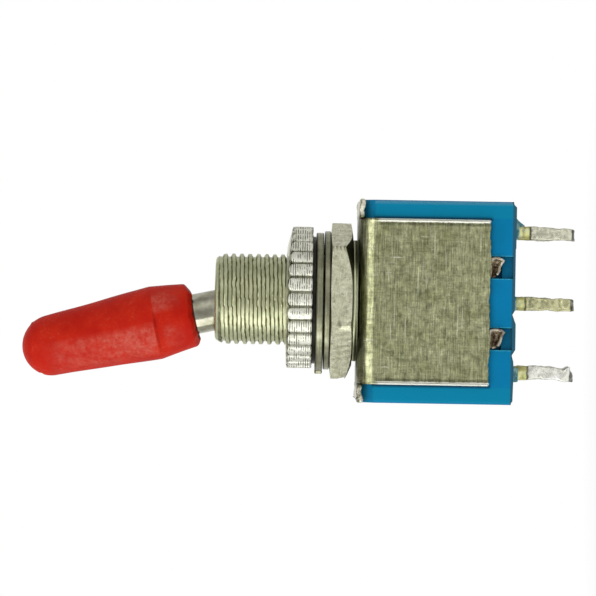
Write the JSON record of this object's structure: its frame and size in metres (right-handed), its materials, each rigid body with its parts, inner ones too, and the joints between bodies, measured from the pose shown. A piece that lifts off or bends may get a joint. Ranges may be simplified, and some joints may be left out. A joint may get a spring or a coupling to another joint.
{
  "type": "toggle switch",
  "caption": "Miniature panel toggle switch: sleeved lever, threaded bushing with nuts and washers, moulded case in a folded bracket, solder lugs.",
  "frame": {"origin": "on the bushing's axis, in the plane where a panel is clamped, between the knurled nut and the washers", "axes": "+Z along the bushing's axis towards the lever, +X along the row of solder lugs and across the lever's throw, +Y through the case's thickness"},
  "size_m": [0.0132, 0.01, 0.0365],
  "materials": {
    "red_sleeve": "matt soft vinyl, mottled",
    "nickel_bright": "bright nickel plate",
    "spring_steel": "bright drawn wire",
    "nickel_thread": "nickel plate",
    "nickel_nut": "nickel plate, a little dirty",
    "steel_washer": "plated steel",
    "bracket_steel": "plated steel, lightly brushed and scratched",
    "blue_case": "moulded thermoset, satin",
    "tinned_brass": "tinned, yellow at the root",
    "contact_silver": "bright",
    "contact_brass": "bright brass",
    "plunger_white": "smooth moulded"
  },
  "bodies": {
    "body": {"bushing": "nickel_thread", "panel_washer": "steel_washer", "tooth_washer": "steel_washer", "bracket": "bracket_steel", "case": "blue_case", "terminal_left": "tinned_brass", "terminal_common": "tinned_brass", "terminal_right": "tinned_brass", "fixed_contact_left": "contact_silver", "fixed_contact_right": "contact_silver"},
    "lever": {"lever": "nickel_bright", "lever_cap": "red_sleeve", "lever_pin": "spring_steel", "plunger_spring": "spring_steel"},
    "plunger": {"plunger": "plunger_white"},
    "rocker": {"rocker": "contact_brass", "rocker_contact_left": "contact_silver", "rocker_contact_right": "contact_silver"},
    "knurled_nut": {"knurled_nut": "nickel_nut"},
    "hex_nut": {"hex_nut": "nickel_nut"}
  },
  "joints": [
    {"name": "lever_throw", "type": "hinge", "parent": "body", "child": "lever", "pos_m": [0, 0, 0.00294], "axis": [0, 1, 0], "range_deg": [0, 24]},
    {"name": "rocker_tilt", "type": "hinge", "parent": "body", "child": "rocker", "pos_m": [0, 0, -0.0092], "axis": [0, 1, 0], "range_deg": [-11, 0]},
    {"name": "plunger_slide", "type": "slide", "parent": "lever", "child": "plunger", "axis": [-0.2079, 0, 0.9781], "range_m": [0, 0.0008], "stiffness_N_per_m": 400, "springref_m": -0.001, "deforming": ["plunger_spring"]},
    {"name": "knurled_nut_turn", "type": "hinge", "parent": "body", "child": "knurled_nut", "pos_m": [0, 0, 0.001], "axis": [0, 0, 1], "continuous": true},
    {"name": "hex_nut_turn", "type": "hinge", "parent": "body", "child": "hex_nut", "pos_m": [0, 0, -0.0017], "axis": [0, 0, 1], "continuous": true}
  ],
  "couplings": [
    {"joint": "rocker_tilt", "follows": "lever_throw", "ratio": -0.45833}
  ]
}
